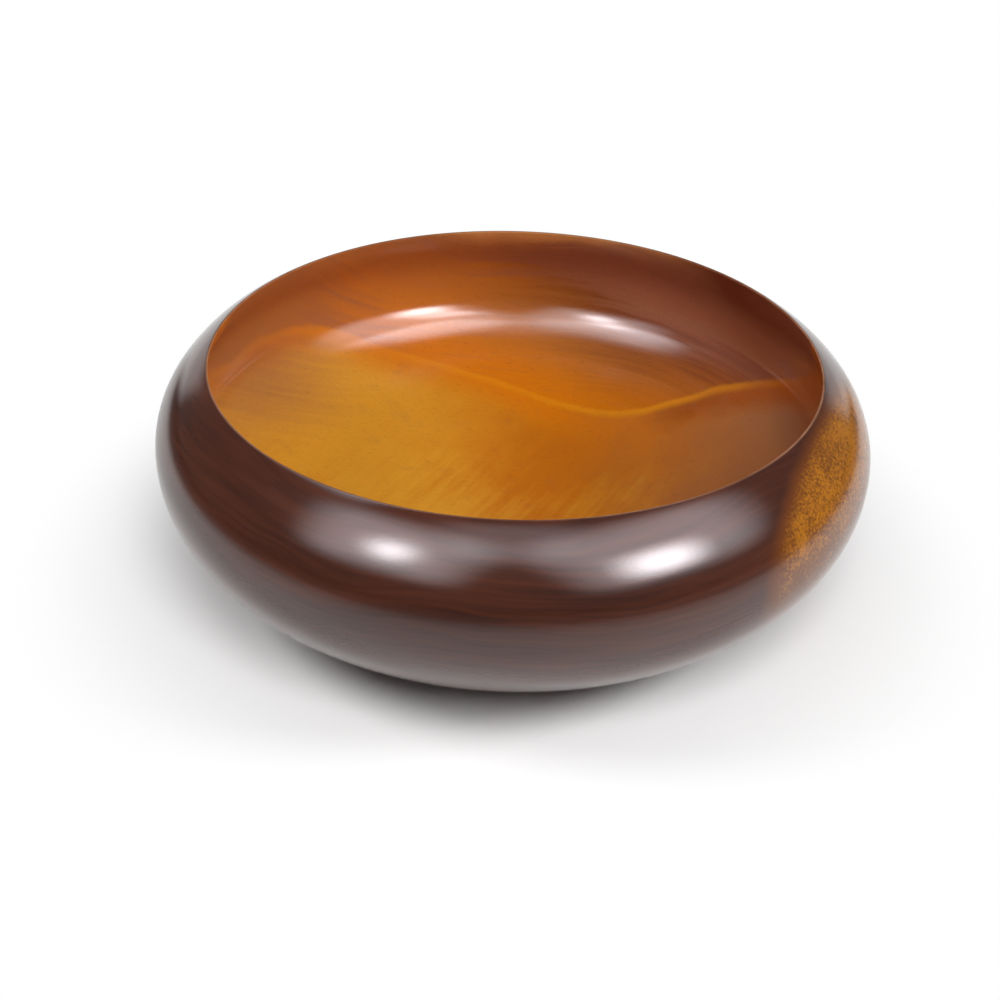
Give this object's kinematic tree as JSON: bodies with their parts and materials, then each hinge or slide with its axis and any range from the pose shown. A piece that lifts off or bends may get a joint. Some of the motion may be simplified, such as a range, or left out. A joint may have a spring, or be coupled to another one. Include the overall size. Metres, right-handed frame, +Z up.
{
  "type": "wooden bowl",
  "caption": "Turned wooden bowl with a round belly, a shoulder that curves in to a thin lip, a wide smooth hollow, and a felt disc seated in its flat foot.",
  "frame": {"origin": "on the turning axis, in the plane of the felt's underside, which is the plane that the bowl rests on", "axes": "+Z up along the turning axis, out of the mouth; the picture looks along +Y and down, with +X to the right"},
  "size_m": [0.203, 0.203, 0.0671],
  "materials": {
    "turned_wood": "dark heartwood with golden flecked sapwood, polished to a clear gloss",
    "felt": "matt pressed wool"
  },
  "bodies": {
    "root": {"bowl_body": "turned_wood", "base_felt": "felt"}
  },
  "joints": []
}
